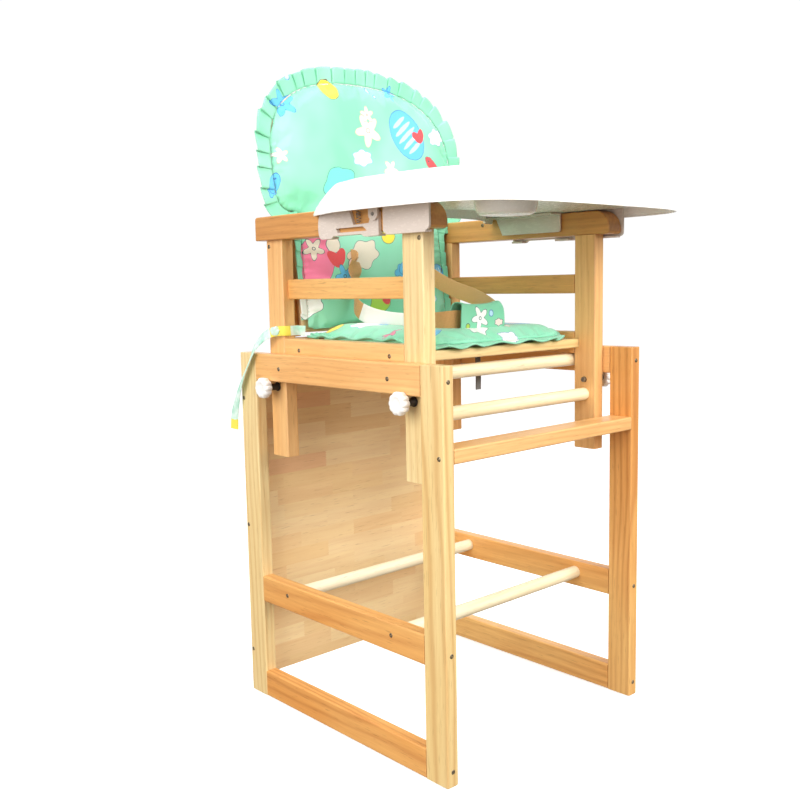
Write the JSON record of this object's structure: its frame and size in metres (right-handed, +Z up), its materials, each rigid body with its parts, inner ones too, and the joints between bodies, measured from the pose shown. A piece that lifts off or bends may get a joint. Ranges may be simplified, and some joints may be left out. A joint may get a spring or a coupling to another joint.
{
  "type": "baby high chair",
  "caption": "Wooden convertible baby high chair: a padded arm chair clamped on a table-like base frame, with a sliding latched plastic tray.",
  "frame": {"origin": "on the floor under the middle of the whole object's box", "axes": "+Z up, -Y is where the seated child looks, +X is the child's left"},
  "size_m": [0.492, 0.5729, 1.0024],
  "materials": {
    "pine": "clear satin varnish on knot-free pine",
    "dowel_wood": "turned pale pine, light varnish",
    "board_wood": "finger-jointed panel, satin varnish",
    "white_plastic": "glossy injection-moulded white",
    "steel": "zinc-plated",
    "mint_fabric": "printed cotton in mint green",
    "webbing": "flat woven tan webbing"
  },
  "bodies": {
    "stand": {"base_front_post_left": "pine", "base_front_post_right": "pine", "base_rear_post_left": "pine", "base_rear_post_right": "pine", "base_top_rail_left": "pine", "base_top_rail_right": "pine", "base_middle_rail_left": "pine", "base_middle_rail_right": "pine", "base_bottom_rail_left": "pine", "base_bottom_rail_right": "pine", "footrest_rail": "pine", "chair_front_leg_left": "pine", "chair_front_leg_right": "pine", "chair_rear_leg_left": "pine", "chair_rear_leg_right": "pine", "arm_rest_left": "pine", "arm_rest_right": "pine", "side_slat_left": "pine", "side_slat_right": "pine", "seat_apron_left": "pine", "seat_apron_right": "pine", "seat_board": "pine", "seat_rear_rail": "pine", "back_upright_left": "pine", "back_upright_right": "pine", "upper_dowel_front": "dowel_wood", "upper_dowel_rear": "dowel_wood", "lower_dowel_front": "dowel_wood", "lower_dowel_rear": "dowel_wood", "front_stretcher": "dowel_wood", "table_panel": "board_wood", "back_panel": "board_wood", "back_cushion": "mint_fabric", "seat_cushion": "mint_fabric", "crotch_sleeve": "mint_fabric", "pad_tie_left": "mint_fabric", "pad_tie_right": "mint_fabric", "waist_belt": "webbing", "crotch_strap": "webbing"},
    "tray": {"tray_shell": "white_plastic", "tray_inner_guide_left": "white_plastic", "tray_inner_guide_right": "white_plastic", "tray_outer_guide_left": "white_plastic", "tray_outer_guide_right": "white_plastic", "latch_pin_left": "steel", "latch_pin_right": "steel", "latch_spring_left": "steel", "latch_spring_right": "steel"},
    "lever_left": {"latch_lever_left": "white_plastic"},
    "lever_right": {"latch_lever_right": "white_plastic"},
    "clamp_front_left": {"clamp_knob_front_left": "white_plastic", "clamp_bolt_front_left": "steel"},
    "clamp_front_right": {"clamp_knob_front_right": "white_plastic", "clamp_bolt_front_right": "steel"},
    "clamp_rear_left": {"clamp_knob_rear_left": "white_plastic", "clamp_bolt_rear_left": "steel"},
    "clamp_rear_right": {"clamp_knob_rear_right": "white_plastic", "clamp_bolt_rear_right": "steel"}
  },
  "joints": [
    {"name": "tray_slide", "type": "slide", "parent": "stand", "child": "tray", "axis": [0, -1, 0], "range_m": [0, 0.15]},
    {"name": "latch_left", "type": "hinge", "parent": "tray", "child": "lever_left", "pos_m": [0.2085, -0.05275, 0.756], "axis": [-1, 0, 0], "range_deg": [0, 10], "stiffness_Nm_per_rad": 1, "springref_deg": -2.86, "deforming": ["latch_spring_left"]},
    {"name": "latch_right", "type": "hinge", "parent": "tray", "child": "lever_right", "pos_m": [-0.2085, -0.05275, 0.756], "axis": [-1, 0, 0], "range_deg": [0, 10], "stiffness_Nm_per_rad": 1, "springref_deg": -2.86, "deforming": ["latch_spring_right"]},
    {"name": "knob_front_left", "type": "hinge", "parent": "stand", "child": "clamp_front_left", "pos_m": [0.216, -0.10675, 0.508], "axis": [1, 0, 0], "continuous": true},
    {"name": "knob_front_right", "type": "hinge", "parent": "stand", "child": "clamp_front_right", "pos_m": [-0.216, -0.10675, 0.508], "axis": [1, 0, 0], "continuous": true},
    {"name": "knob_rear_left", "type": "hinge", "parent": "stand", "child": "clamp_rear_left", "pos_m": [0.216, 0.20325, 0.508], "axis": [1, 0, 0], "continuous": true},
    {"name": "knob_rear_right", "type": "hinge", "parent": "stand", "child": "clamp_rear_right", "pos_m": [-0.216, 0.20325, 0.508], "axis": [1, 0, 0], "continuous": true}
  ]
}
